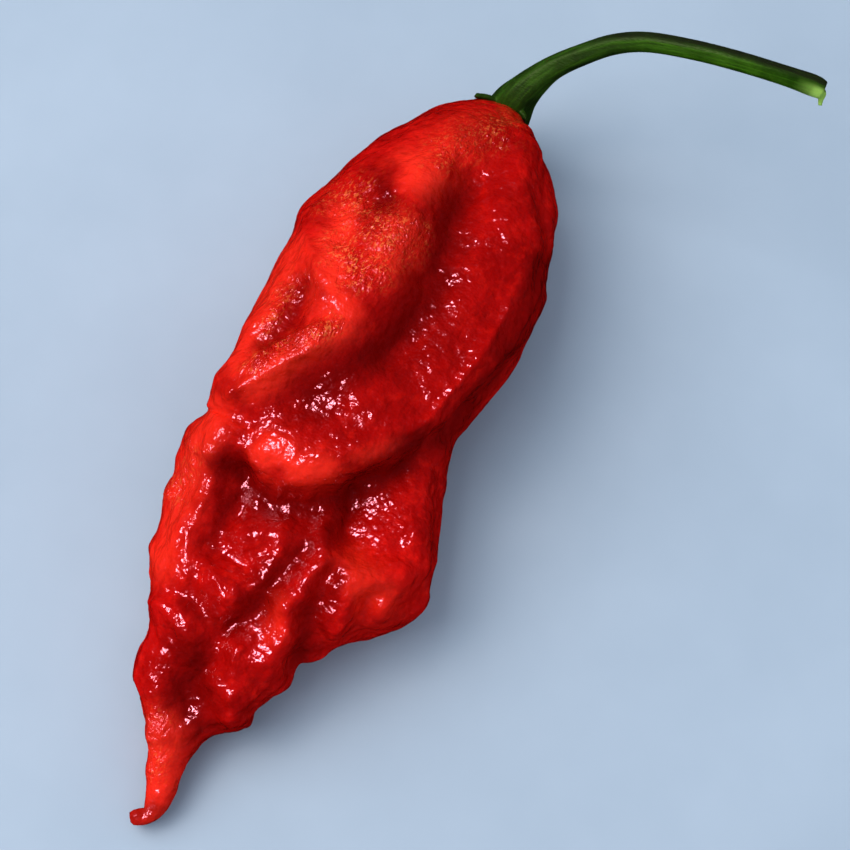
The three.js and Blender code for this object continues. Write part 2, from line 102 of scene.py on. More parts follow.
# The side profile: y, the heights of underside, widest line and top, and the top's lean to the left
PROFILE = np.array(
    [
        [-43.5, 0.9, 1.6, 2.4, 0],
        [-40, 0.5, 2.0, 3.6, 0.05],
        [-36, 0.3, 2.8, 5.6, 0.1],
        [-32, 0.2, 3.8, 7.9, 0.1],
        [-28, 0.2, 4.8, 10.0, 0.05],
        [-22, 0.2, 6.0, 12.6, 0.05],
        [-14, -0.1, 7.0, 15.0, 0.1],
        [-7, -0.5, 7.8, 17.0, 0.2],
        [0, -0.8, 8.4, 19.2, 0.35],
        [10, -0.9, 9.0, 20.6, 0.35],
        [20, -0.7, 9.4, 20.8, 0.25],
        [28, 0.1, 9.8, 19.6, 0.15],
        [34, 1.8, 10.2, 17.4, 0.08],
        [37.2, 3.6, 10.5, 15.8, 0],
        [39.2, 5.2, 10.8, 14.4, 0],
        [40.6, 7.4, 11.0, 13.2, 0],
        [41.2, 9.4, 11.1, 12.2, 0],
    ]
)

# Relief of the upper side: the line that it follows, its rise and its spread
UPPER_RIDGES = [
    # the crest that runs from the shoulder to the left rim, and the folds left of it
    ([(-1, 37), (-3, 33), (-3.6, 27), (-3.6, 20), (-3.4, 14), (-3.9, 10.4)], 0.8, 2.8),
    ([(-5.3, 7.8), (-7.8, 3.4), (-9.6, 0.4), (-11.2, -2.4)], 1.2, 1.7),
    ([(-13, 20), (-10.4, 16.6), (-7.6, 13.6), (-6.4, 12.4)], 0.8, 1.8),
    ([(-11.6, 13), (-11.8, 8), (-11.2, 4), (-11.2, 0.5)], 0.5, 1.2),
    ([(-9.6, 12.4), (-8.8, 8.8), (-9.4, 5.6)], -0.9, 2.0),
    ([(-10.6, 22.5), (-9, 19.5)], -0.5, 1.8),
    ([(-2.4, 29.6), (-5, 30)], 0.5, 2.2),
    ([(-8.6, 25), (-6, 26)], -0.6, 1.6),
    # the hollow band right of the crest, and the long ridge above the right flank
    ([(1, 30), (2, 23), (2.6, 16), (1.8, 10)], -2.0, 3.2),
    ([(3.6, 31), (6.4, 27), (7.6, 21), (7.8, 14)], 0.6, 2.6),
    (
        [(3, 38.6), (5.2, 32.4), (8.4, 27), (9.9, 21.4), (10.2, 17.7), (10, 14.3), (9.1, 9.4), (8.4, 5.5)],
        1.5,
        1.9,
    ),
    ([(12.4, 22), (12.8, 18.5), (12.4, 14.5), (11.4, 10.5), (11.8, 6)], 0.5, 1.1),
    ([(6.2, 9.4), (5.4, 4.2)], 0.7, 2.4),
    ([(0.6, 6.8)], 0.4, 2.4),
    ([(-3.4, 1.8)], -0.8, 3.0),
    ([(-4, -4.4), (-1, -4.9), (2, -2.8), (4.6, -0.2), (6.4, 3)], 0.9, 2.2),
    # the left rim and its steep flank
    ([(-9.2, -4.6), (-8.3, -7.2), (-7.6, -11), (-7.3, -15.7), (-6.4, -18.6), (-5.7, -22.4)], 1.0, 1.3),
    ([(-5.4, -23.4), (-4.9, -26.4), (-4, -29.4), (-2.4, -32), (-0.6, -34.8)], 0.7, 1.2),
    ([(-10.6, -9), (-10, -13)], -0.5, 1.2),
    # the knobs and furrows of the lower half, left to right
    ([(-5.6, -8.6), (-5.2, -12.4)], -1.0, 1.4),
    ([(-3, -13.6), (0, -12.5)], 1.1, 1.5),
    ([(-5.2, -16.4), (-2.4, -16.8), (0, -17)], -0.6, 1.1),
    ([(-4, -17.6), (-2, -18.9), (-0.2, -19.9)], 1.4, 1.4),
    ([(-5, -21.8), (-2.2, -22.8), (0.2, -23.6)], -0.7, 1.1),
    ([(-3.6, -23.4), (-2.4, -24.9), (-1, -26.4)], 1.3, 1.3),
    ([(0.2, -27), (0, -29.4), (1.6, -31)], -1.6, 2.1),
    ([(1, -11.5), (1.4, -14.6), (1, -17.6)], 0.7, 1.2),
    ([(3.4, -12.6), (2.6, -16), (2.2, -19.6), (1, -22.6)], -0.9, 1.5),
    ([(4.4, -18.4), (5.4, -21.1), (6, -24)], 1.2, 1.4),
    ([(2.6, -24.2), (3.2, -26.4), (4, -28.6)], 0.9, 1.2),
    ([(5.6, -27), (5, -30.6)], 0.6, 1.0),
    ([(4.6, -10.6), (5.6, -13.2), (5.6, -16)], 0.9, 1.3),
    ([(7.4, -13.6), (7.4, -17.4), (8, -21.6)], -0.9, 1.3),
    ([(9.8, -15.8), (10, -18.6)], 0.6, 1.1),
    ([(11.6, -14.6), (12, -17.4)], -0.9, 1.1),
    ([(13.6, -14.6)], 0.6, 1.2),
    # the right lobe: its rim, the hollow inside the rim, and the ridge to its corner
    ([(10.6, 2), (11.8, -2.6), (12.8, -6), (13.8, -9.4)], 1.3, 1.7),
    ([(6.4, -4.6), (8.2, -9)], -1.9, 2.2),
    ([(13.6, -11.4), (12, -12.2), (10, -13.2), (8.4, -14)], 0.9, 1.4),
]

# Ledges that drop away on the right of their line: line, crest, drop, width, reach
UPPER_LEDGES = [
    (
        [
            (-6.6, -4.6),
            (-4.8, -6.3),
            (-2, -7),
            (0.6, -6),
            (2.6, -4.2),
            (4.4, -2.2),
            (6.2, 0),
            (7.5, 2.2),
            (8.3, 4.8),
        ],
        0.0,
        2.6,
        2.6,
        6.5,
    ),
    ([(7.4, 2), (8.3, 4.8), (9.2, 7.4), (10, 9.6), (10.4, 13), (10, 17)], 0.2, 1.8, 1.8, 2.8),
]

# Relief of the underside, drawn in plan
LOWER_RIDGES = [
    ([(-7.5, 33), (-8.4, 22), (-7, 12), (-8.2, 2)], -1.7, 1.8),
    ([(7.5, 31), (8.2, 20), (7.2, 9), (9.5, -2)], -1.8, 1.9),
    ([(-11, 5), (-6, 1), (-1, -3)], -1.2, 1.4),
    ([(12, 16), (8, 13.5), (4.5, 13.5)], -1.1, 1.3),
    ([(-12, 17), (-8, 15), (-5, 16)], 0.8, 1.4),
    ([(11, -5), (7, -9), (4, -14), (3, -21)], -1.4, 1.4),
    ([(-9, -8), (-5, -12), (-3, -18), (-1, -25)], -1.2, 1.3),
    ([(-2, 33)], -0.9, 2.4),
    ([(1, -28)], -0.8, 1.8),
]

# Thin sharp creases, finer than the CAD skin holds: line, rise and half-width
CREASES = [
    ([(-4.4, 8.8), (-7.2, 4.4), (-9.4, 0.8), (-11.2, -2.2)], 0.9, 0.7),
    ([(-5.2, 10.4), (-8, 6), (-10.4, 2.6)], 0.7, 0.5),
    ([(-12.6, 18.6), (-9.8, 15.6), (-7.4, 13.6)], 0.35, 0.5),
    ([(9.6, 23), (10.2, 17.7), (10, 14.3), (9.1, 9.4), (8.4, 5.5), (7, 2.6)], 0.8, 0.55),
    ([(8.6, 33), (11, 28), (12.2, 22), (12.2, 16), (11.2, 11)], 0.4, 0.45),
    ([(-9.6, 30), (-11.8, 24.6), (-12.6, 20)], 0.3, 0.5),
    ([(-8.4, -6), (-7.6, -11), (-7.3, -15.7), (-6.4, -18.6)], 0.3, 0.6),
    ([(-4.4, -2.8), (-1, -3.9), (2.4, -2.2), (5, 0.4)], 0.25, 0.7),
]

# Where the skin is darker, partly its own deeper red and partly painted shade in hollows and on slopes that
# face away from the lamp, and where it is brighter and less glossy, partly its own colour and partly painted
# light on sides that face the lamp and painted glow at the fold lips: line, strength and spread
DEEP_AND_PAINTED_SHADE_SKIN = [
    ([(0.5, 28), (1.6, 22), (2.6, 16), (0.5, 10), (-3.4, 1.6)], 1.0, 3.4),
    ([(4.6, 20), (5.6, 14), (4, 8)], 0.6, 3.0),
    ([(6, 27), (7.4, 19), (6.4, 9), (1.6, 2.4)], 0.4, 4.0),
    ([(-7, -8), (-4.5, -9.4), (-1, -9.8), (2.6, -8.6), (5, -5.4), (7, -1.6), (8.4, 2.4)], 1.0, 2.2),
    ([(-6, -12), (-3, -11.6), (1.6, -11)], 0.5, 2.6),
    ([(4.8, -9.4), (5.6, -5.4)], 0.9, 2.0),
    ([(-0.9, -26.6), (-0.6, -29.4), (1.6, -31.6)], 1.0, 3.0),
    ([(-5.6, -9), (-5.6, -13), (-5, -16)], 0.8, 1.6),
    ([(-4, -22), (-1, -22.8)], 0.7, 1.2),
    ([(3.4, -12.6), (2.8, -16), (2, -19.6), (1, -22.6)], 0.9, 1.6),
    ([(7.4, -13.6), (7.4, -17.4), (8, -21.6)], 0.8, 1.4),
    ([(11.4, 26), (12, 20), (11.8, 12), (10.6, 4)], 0.8, 1.8),
    ([(-8, 26.8), (-6.2, 25.6)], 0.9, 1.8),
    ([(-9.4, 12), (-8.8, 8.6), (-9.8, 5.2)], 0.6, 1.4),
    ([(3, 34), (6, 30)], 0.5, 2.6),
    ([(3, 37), (-1.6, 36.4)], 0.45, 2.2),
    ([(-7, 6.8), (-5, 4)], 0.4, 1.4),
    ([(3, -41), (1.9, -42.3)], 0.7, 1.0),
]
# partly the skin's own brighter colour, partly painted light on sides that face the lamp and painted glow at
# the fold lips
BRIGHT_AND_PAINTED_LIGHT_SKIN = [
    ([(-2, 36), (-4, 33)], 0.6, 2.6),
    ([(-5.8, 30.6), (-2.6, 29.4)], 1.0, 2.0),
    ([(-9.4, 22), (-8.6, 17), (-6, 13.6), (-4.8, 11)], 1.0, 2.0),
    ([(-3.6, 23), (-3, 19)], 0.75, 2.6),
    ([(-12, 16), (-12, 8), (-11.6, 2)], 0.7, 1.8),
    ([(-4, 9.8), (-6, 6.4), (-8.6, 1)], 1.0, 1.5),
    ([(-11, -3), (-10.4, -9), (-9.4, -15), (-8.2, -20)], 0.8, 1.8),
    ([(-4.4, -4.4), (-1.4, -5.6), (1.6, -4.4)], 1.0, 1.7),
    ([(4.4, -1.6), (6.4, 0.8)], 0.6, 1.0),
    ([(0, -35), (1.6, -38), (2.6, -41)], 0.9, 2.4),
    ([(9, -12), (12, -13.6)], 0.6, 2.0),
    ([(3.6, -18), (4.6, -21.4)], 0.5, 1.2),
]

# Where the skin is finely crinkled, with orange flecks: line, strength and spread
CRINKLED_SKIN = [
    ([(-9, 23), (-3.4, 22.4)], 1.0, 3.0),
    ([(-8, 18), (-4.6, 17.4)], 1.0, 2.2),
    ([(-3.4, 33), (-1.6, 36), (1, 38.4)], 0.7, 2.0),
    ([(-5, 10), (-7.4, 6.4), (-10, 2.6)], 1.0, 1.0),
    ([(-10.6, 13), (-11, 7)], 0.6, 1.2),
    ([(-11, -8), (-10.4, -13)], 0.5, 1.4),
    ([(-1.6, -34), (1, -38)], 0.5, 1.4),
]

# The small forms of the CAD skin, which are made of noise
DRIFT = 0.5  # how far the relief strays from its drawn lines
SWELL_HEIGHT = 0.8
KNOB_HEIGHT = 0.2
LOWER_KNOB_HEIGHT = 0.3  # more of it, on the lower half
FOLD_HEIGHT = 0.45

# The finer relief: the size of its noise and its height
PUCKER_SIZE = 1.9
PUCKER_HEIGHT = 0.07
LOWER_PUCKER_HEIGHT = 0.13  # more of it, on the lower half
WRINKLE_SIZE = 0.9
WRINKLE_HEIGHT = 0.12
GRAIN_SIZE = 0.7
GRAIN_HEIGHT = 0.025
CRINKLE_HEIGHT = 0.09  # more of it, on the crinkled patches
WANDER_SIZE = 2.2  # of the noise that makes the edges of the zones uneven

# The stalk's and the torn fibre's centre lines: seen x and y, true height, radius
STALK = np.array(
    [
        [0.4, 40.4, 7.8, 2.5],
        [0.45, 41.6, 9.6, 2.25],
        [0.7, 43.0, 11.4, 1.9],
        [1.3, 45.0, 13.0, 1.56],
        [2.4, 47.5, 14.6, 1.24],
        [4.3, 50.1, 16.3, 1.11],
        [7.0, 53.0, 18.4, 1.05],
        [10.2, 54.9, 20.0, 1.02],
        [15.0, 56.2, 21.4, 1.0],
        [20.0, 57.05, 22.2, 1.0],
        [25.0, 57.6, 22.3, 1.0],
        [28.2, 57.8, 21.9, 1.08],
        [29.4, 57.7, 21.7, 0.92],
    ]
)
FIBRE = np.array(
    [
        [28.9, 57.9, 21.4, 0.4],
        [29.5, 57.4, 21.2, 0.36],
        [29.6, 56.6, 20.7, 0.28],
        [29.8, 55.9, 20.4, 0.2],
    ]
)
STALK_LENGTH = 40.0  # rounded; it sets how long the streaks of its colour are
STALK_STEPS = 260
STALK_SIDES = 60
STALK_FLUTING = 0.05  # height of the stalk's lengthwise ribs, as a share of its radius
RIB_COUNT = 5
FIBRE_STEPS = 24
FIBRE_SIDES = 12
STEM_VOXEL = 0.12  # the fineness of the mesh that joins stalk, fibre and calyx

# The calyx, a thin toothed cup on the pod's shoulder
CALYX_RADIUS = 2.7
CALYX_THICKNESS = 0.45
CALYX_SIDES = 120
CALYX_SHARES = [0.2, 0.36, 0.58, 0.76, 0.9, 1.0]  # where its rings lie between centre and edge
CALYX_BASE = 0.1  # the height over the skin from which its thickness is taken
CALYX_SINK = 0.3  # how far its underside lies below that, in the skin
RAGGEDNESS = 0.35  # the unevenness of its edge
TOOTH_LENGTH = 2.3
TOOTH_CURL = 0.7  # how far a tooth's tip stands off the pod
TOOTH_POINT = 0.8  # exponent of a tooth's outline: less is blunter
TOOTH_COUNT = 5
FIRST_TOOTH = math.radians(-18)

# Colours: red, green, blue and opacity
DEEP_RED = (0.35, 0.0015, 0.001, 1)
RED = (0.55, 0.003, 0.002, 1)
BLOTCH_RED = (0.82, 0.009, 0.004, 1)
# partly the skin's own bright red, partly painted light on sides that face the lamp and painted glow at the
# fold lips
BRIGHT_AND_PAINTED_LIGHT_RED = (1.0, 0.024, 0.008, 1)
# partly the skin's own deeper red, partly painted shade in the hollows and on slopes that face away from the
# lamp
DEEP_AND_PAINTED_SHADE_RED = (0.155, 0.0007, 0.0005, 1)
FLECK_ORANGE = (1.0, 0.17, 0.04, 1)
SKIN_GLEAM = (1.0, 0.33, 0.42, 1)
DEEP_GREEN = (0.008, 0.032, 0.0006, 1)
GREEN = (0.026, 0.08, 0.002, 1)
STREAK_GREEN = (0.045, 0.14, 0.004, 1)
TORN_GREEN = (0.33, 0.53, 0.09, 1)
STALK_BROWN = (0.012, 0.010, 0.006, 1)
STALK_GLEAM = (0.75, 1.0, 0.4, 1)
SURFACE_SHADE = (0.336, 0.407, 0.482, 1)
SURFACE_PALE = (0.381, 0.453, 0.529, 1)
SKY_BLUE = (0.72, 0.84, 1.0, 1)
WINDOW_WHITE = (0.97, 0.98, 1.0)
GLEAM_WHITE = (1.0, 0.97, 0.98)

# The camera, the light and the surface
AZIMUTH = math.radians(26.3)
ELEVATION = math.radians(68.0)
AIM = np.array([8.4, 4.5, 8.0])  # the place on the drawing that the camera looks at
CAMERA_DISTANCE = 0.212
FOCAL_LENGTH = 90
FILM_WIDTH = 36
LAMP_AIM = Vector((0, 0, 0.01))
SKY_STRENGTH = 0.8
SURFACE_SIZE = 3.0


# Small helpers


def smooth(low, high, value):
    """A soft step from 0 at low to 1 at high."""
    t = np.clip((value - low) / (high - low), 0, 1)
    return t * t * (3 - 2 * t)


def along_rows(rows, at):
    """A Catmull-Rom curve through the rows of a table, at row numbers that needn't be whole."""
    i = np.clip(np.floor(at).astype(int), 0, len(rows) - 2)
    t = (at - i)[..., None]
    a, b, d, e = (rows[np.clip(i + k, 0, len(rows) - 1)] for k in (-1, 0, 1, 2))
    return b + 0.5 * t * (d - a + t * (2 * a - 5 * b + 4 * d - e + t * (3 * (b - d) + e - a)))


def look_up(rows, key):
    """The same, where the first column rises and says where on the curve the value is wanted."""
    k = np.clip(key, rows[0, 0], rows[-1, 0])
    i = np.clip(np.searchsorted(rows[:, 0], k, side="left") - 1, 0, len(rows) - 2)
    return along_rows(rows, i + (k - rows[i, 0]) / (rows[i + 1, 0] - rows[i, 0]))


def from_seen(x, y, z):
    """The true place, at height z, of a point that is seen at (x, y) on the datum plane."""
    t = (VIEWPOINT[2] - z) / (VIEWPOINT[2] - DATUM)
    return np.stack([VIEWPOINT[0] + (x - VIEWPOINT[0]) * t, VIEWPOINT[1] + (y - VIEWPOINT[1]) * t, z], -1)


def to_seen(p):
    """Where on the datum plane the points p are seen."""
    t = (VIEWPOINT[2] - DATUM) / (VIEWPOINT[2] - p[..., 2])
    return VIEWPOINT[0] + (p[..., 0] - VIEWPOINT[0]) * t, VIEWPOINT[1] + (p[..., 1] - VIEWPOINT[1]) * t


def nearest_on(line, x, y):
    """Distance to a line of points, positive on its right, and the share of the line at the nearest place."""
    best = np.full(x.shape, np.inf)
    share = np.zeros(x.shape)
    for i, (ax, ay) in enumerate(line):
        bx, by = line[min(i + 1, len(line) - 1)]
        dx, dy = bx - ax, by - ay
        length2 = dx * dx + dy * dy
        t = np.clip(((x - ax) * dx + (y - ay) * dy) / length2, 0, 1) if length2 else np.zeros(x.shape)
        ox, oy = x - ax - dx * t, y - ay - dy * t
        distance = np.hypot(ox, oy) * np.where(dx * oy - dy * ox > 0, -1, 1)
        nearer = np.abs(distance) < np.abs(best) - 1e-9
        best = np.where(nearer, distance, best)
        share = np.where(nearer, (i + t) / max(len(line) - 1, 1), share)
    return best, share


LOW_32_BITS = 0xFFFFFFFF
# Large factors that scatter the numbers of the noise's cells
HASH_FACTORS = (np.uint32(374761393), np.uint32(668265263), np.uint32(2147483586))
HASH_SCRAMBLE = np.uint32(1274126177)


def noise(x, y, z):
    """Smooth noise from -1 to 1 with one hill or hollow in about every cell of a unit grid."""
    cell = [np.floor(v).astype(np.int64) for v in (x, y, z)]
    u, v, w = (t * t * (3 - 2 * t) for t in (x - cell[0], y - cell[1], z - cell[2]))

    def value(i, j, k):
        parts = ((c & LOW_32_BITS).astype(np.uint32) for c in (i, j, k))
        a, b, c = (part * factor for part, factor in zip(parts, HASH_FACTORS))
        h = a ^ b ^ c
        h = (h ^ (h >> np.uint32(13))) * HASH_SCRAMBLE
        return (h ^ (h >> np.uint32(16))).astype(float) / 2**31 - 1

    def edge(j, k):
        i = cell[0]
        return value(i, cell[1] + j, cell[2] + k) * (1 - u) + value(i + 1, cell[1] + j, cell[2] + k) * u

    near = edge(0, 0) * (1 - v) + edge(1, 0) * v
    far = edge(0, 1) * (1 - v) + edge(1, 1) * v
    return near * (1 - w) + far * w


def octaves(p, size, count, seed):
    """Noise of several sizes, each half the one before."""
    total = 0
    for k in range(count):
        q = p / size * 2**k + seed + 17.3 * k
        total = total + noise(q[..., 0], q[..., 1], q[..., 2]) / 2**k
    return total


# The pod's surface


def ridge_relief(ridges, x, y):
    """The height of rounded ridges and hollows."""
    total = np.zeros(x.shape)
    for line, rise, spread in ridges:
        distance, _ = nearest_on(line, x, y)
        total += rise * np.exp(-((distance / spread) ** 2))
    return total


def crease_relief(creases, x, y):
    """The height of sharp ridges that fade out at both ends."""
    total = np.zeros(x.shape)
    for line, rise, spread in creases:
        distance, share = nearest_on(line, x, y)
        ends = smooth(0, 0.15, share) * (1 - smooth(0.85, 1, share))
        total += rise * ends * np.exp(-np.abs(distance) / spread)
    return total


def skin_zone(zones, x, y):
    """Strongest of several zones at each place, from 0 to 1."""
    total = np.zeros(x.shape)
    for line, strength, spread in zones:
        distance, _ = nearest_on(line, x, y)
        total = np.maximum(total, strength * np.exp(-((distance / spread) ** 2)))
    return total


def ledge_relief(ledges, x, y):
    """The height of steps that drop away on one side and rise again slowly."""
    total = np.zeros(x.shape)
    for line, crest, drop, width, reach in ledges:
        distance, share = nearest_on(line, x, y)
        ends = smooth(0, 0.2, share) * (1 - smooth(0.8, 1, share))
        lip = crest * np.exp(-((distance / width) ** 2))
        fall = drop * smooth(0, width, distance) * np.exp(-((distance / reach) ** 2))
        total += ends * (lip - np.where(distance > 0, fall, 0))
    return total


def smooth_point(row, angle):
    """A point of the pod without its relief: a row of the outline, and the angle round the pod there."""
    ends = along_rows(OUTLINE, row)
    left_x, left_y, right_x, right_y = (ends[..., k] for k in range(4))
    _, low, middle, high, lean = np.moveaxis(look_up(PROFILE, (left_y + right_y) / 2), -1, 0)
    c, s = np.cos(angle), np.sin(angle)
    power = np.where(s > 0, BOXINESS, 1.0)
    across = 0.5 + (np.sign(c) * np.abs(c) ** power - np.where(s > 0, lean * s, 0)) / 2
    z = middle + np.sign(s) * np.abs(s) ** power * np.where(s > 0, high - middle, middle - low)
    return from_seen(left_x + (right_x - left_x) * across, left_y + (right_y - left_y) * across, z)


def unit(v):
    return v / np.maximum(np.linalg.norm(v, axis=-1, keepdims=True), 1e-12)


def smooth_normal(row, angle):
    """The direction that the skin faces at such a point."""
    step = 0.02
    last = len(OUTLINE) - 1
    along = smooth_point(np.minimum(row + step, last), angle) - smooth_point(np.maximum(row - step, 0), angle)
    around = smooth_point(row, angle + step) - smooth_point(row, angle - step)
    return unit(np.cross(along, around))


def pod_points(row, angle):
    """The CAD pod's skin."""
    p = smooth_point(row, angle)
    normal = smooth_normal(row, angle)
    girth = smooth(-43, -24, p[..., 1])  # the thin tail has little relief
    shoulder = 1 - smooth(35, 39, p[..., 1])  # and so has the seat of the calyx
    rise = np.sin(angle)
    upper = smooth(-0.45, 0.3, rise)
    x, y = to_seen(p)
    px, py, pz = p[..., 0], p[..., 1], p[..., 2]
    x = x + DRIFT * noise(px / 2.1 + 11, py / 2.4, pz / 2.1)
    y = y + DRIFT * noise(px / 2.1, py / 2.4 + 5, pz / 2.1)
    lower_half = 1 - smooth(-16, 0, py)
    swells = noise(px / 8 + 3, py / 9, pz / 8) * SWELL_HEIGHT * np.abs(rise)
    knobs = noise(px / 2.6, py / 3, pz / 2.6) * (KNOB_HEIGHT + LOWER_KNOB_HEIGHT * lower_half)
    folds = noise(px / 2.2 + 7, py / 7, pz / 2.2) * FOLD_HEIGHT * (1 - np.abs(normal[..., 2]))
    relief = (
        upper * (ridge_relief(UPPER_RIDGES, x, y) + ledge_relief(UPPER_LEDGES, x, y))
        + (1 - upper) * ridge_relief(LOWER_RIDGES, px, py) * girth
        + (swells + knobs + folds) * (0.2 + 0.8 * girth)
    )
    # the outline is drawn as it is seen, so relief gives way where the skin turns out of sight
    facing = np.abs(np.einsum("...k,...k->...", normal, unit(VIEWPOINT - p)))
    edge = 0.35 + 0.65 * smooth(0, 0.45, facing)
    return p + normal * (relief * shoulder * edge)[..., None]


def grid_normals(p):
    """Normals of a grid of points that closes on itself round its second direction."""
    along = np.gradient(p, axis=0)
    around = np.roll(p, -1, axis=1) - np.roll(p, 1, axis=1)
    return unit(np.cross(along, around))


def even_rows(count):
    """Row numbers that lie evenly along the pod."""
    fine = np.linspace(0, len(OUTLINE) - 1, 2000)
    ends = along_rows(OUTLINE, fine)
    middle = (ends[:, :2] + ends[:, 2:]) / 2
    length = np.concatenate([[0], np.cumsum(np.linalg.norm(np.diff(middle, axis=0), axis=1))])
    return np.interp(np.linspace(0, length[-1], count), length, fine)


def place(points):
    """From the drawing, in millimetres, to the part's frame, in metres."""
    return (points + DRAWING_ORIGIN) * MM


def mesh_object(name, points, faces, material):
    """A smooth-shaded object from points of the drawing."""
    mesh = bpy.data.meshes.new(name)
    mesh.from_pydata(place(points).tolist(), [], faces)
    mesh.validate()
    mesh.update()
    mesh.polygons.foreach_set("use_smooth", [True] * len(mesh.polygons))
    mesh.materials.append(material)
    obj = bpy.data.objects.new(name, mesh)
    bpy.context.scene.collection.objects.link(obj)
    return obj


def ring_faces(rows, sides, first, last):
    """Faces over rings of points, each end drawn together in one point."""
    faces = []
    for r in range(rows - 1):
        p, q = r * sides, (r + 1) * sides
        for a in range(sides):
            b = (a + 1) % sides
            faces.append((p + a, q + a, q + b, p + b))
    end = (rows - 1) * sides
    for a in range(sides):
        b = (a + 1) % sides
        faces.append((first, a, b))
        faces.append((last, end + b, end + a))
    return faces


def float_attribute(obj, name, values):
    layer = obj.data.attributes.new(name, "FLOAT", "POINT")
    layer.data.foreach_set("value", np.asarray(values, dtype=np.float32))


# Materials


def new_material(name):
    material = bpy.data.materials.new(name)
    material.use_nodes = True
    nodes = material.node_tree.nodes
    nodes.clear()
    shader = nodes.new("ShaderNodeBsdfPrincipled")
    output = nodes.new("ShaderNodeOutputMaterial")
    material.node_tree.links.new(shader.outputs["BSDF"], output.inputs["Surface"])
    return material, material.node_tree, shader


def feed(tree, socket, value):
    """Link an output to a socket, or set a plain value there."""
    if isinstance(value, bpy.types.NodeSocket):
        tree.links.new(value, socket)
    else:
        socket.default_value = value


def mix_colour(tree, factor, a, b):
    node = tree.nodes.new("ShaderNodeMix")
    node.data_type = "RGBA"
    node.blend_type = "MIX"
    # a colour mix has its factor at input 0, its colours at 6 and 7 and its result at output 2
    for index, value in ((0, factor), (6, a), (7, b)):
        feed(tree, node.inputs[index], value)
    return node.outputs[2]


def remap(tree, value, from_min, from_max, to_min=0.0, to_max=1.0):
    node = tree.nodes.new("ShaderNodeMapRange")
    tree.links.new(value, node.inputs[0])
    for socket, number in zip(node.inputs[1:5], (from_min, from_max, to_min, to_max)):
        socket.default_value = number
    return node.outputs[0]


def math_node(tree, operation, a, b):
    node = tree.nodes.new("ShaderNodeMath")
    node.operation = operation
    for socket, value in zip(node.inputs, (a, b)):
        feed(tree, socket, value)
    return node.outputs[0]


def product(tree, a, b):
    return math_node(tree, "MULTIPLY", a, b)


def noise_texture(tree, where, scale, detail, roughness, distortion=0.0, kind="FBM"):
    node = tree.nodes.new("ShaderNodeTexNoise")
    node.noise_type = kind
    tree.links.new(where, node.inputs["Vector"])
    node.inputs["Scale"].default_value = scale
    node.inputs["Detail"].default_value = detail
    node.inputs["Roughness"].default_value = roughness
    node.inputs["Distortion"].default_value = distortion
    return node.outputs["Fac"]


def attribute(tree, name):
    node = tree.nodes.new("ShaderNodeAttribute")
    node.attribute_name = name
    return node.outputs["Fac"]


def millimetres(tree, stretch=(1, 1, 1)):
    """Object coordinates in millimetres."""
    coordinates = tree.nodes.new("ShaderNodeTexCoord")
    mapping = tree.nodes.new("ShaderNodeMapping")
    mapping.inputs["Scale"].default_value = [1000 * s for s in stretch]
    tree.links.new(coordinates.outputs["Object"], mapping.inputs["Vector"])
    return mapping.outputs["Vector"]


def bumps(tree, layers):
    """Normals from several heights, each bump on the one before: height, strength and distance."""
    normal = None
    for height, strength, distance in layers:
        node = tree.nodes.new("ShaderNodeBump")
        feed(tree, node.inputs["Strength"], strength)
        feed(tree, node.inputs["Distance"], distance)
        feed(tree, node.inputs["Height"], height)
        if normal is not None:
            feed(tree, node.inputs["Normal"], normal)
        normal = node.outputs["Normal"]
    return normal


def pod_colour(tree, where, bright_and_painted_light, deep_and_painted_shade, crinkled):
    """Deep red, brighter with painted light and painted glow where the skin faces the lamp and at the fold
    lips, darker with painted shade in the hollows, each partly the skin's own colour, and orange flecks on
    the crinkled patches.
    """
    long_flecks = millimetres(tree, (1.0, 0.55, 1.0))
    broad = noise_texture(tree, where, scale=0.16, detail=3, roughness=0.6)
    blotches = noise_texture(tree, where, scale=0.9, detail=4, roughness=0.65)
    flecks = noise_texture(tree, long_flecks, scale=3.0, detail=2, roughness=0.6, distortion=0.9)
    clusters = noise_texture(tree, where, scale=0.4, detail=2, roughness=0.5)
    colour = mix_colour(tree, remap(tree, broad, 0.35, 0.65), DEEP_RED, RED)
    colour = mix_colour(tree, remap(tree, blotches, 0.5, 0.7, 0.0, 0.55), colour, BLOTCH_RED)
    # painted light: brighter red on sides that face the lamp and painted glow at the fold lips, partly the
    # skin's own brighter colour
    colour = mix_colour(tree, product(tree, bright_and_painted_light, 0.9), colour, BRIGHT_AND_PAINTED_LIGHT_RED)
    orange = product(tree, remap(tree, flecks, 0.54, 0.61), crinkled)
    orange = product(tree, orange, remap(tree, clusters, 0.38, 0.56))
    colour = mix_colour(tree, product(tree, orange, 0.85), colour, FLECK_ORANGE)
    # painted shade: deeper red in the hollows and on slopes that face away from the lamp, partly the skin's
    # own deeper colour
    return mix_colour(tree, product(tree, deep_and_painted_shade, 0.95), colour, DEEP_AND_PAINTED_SHADE_RED)


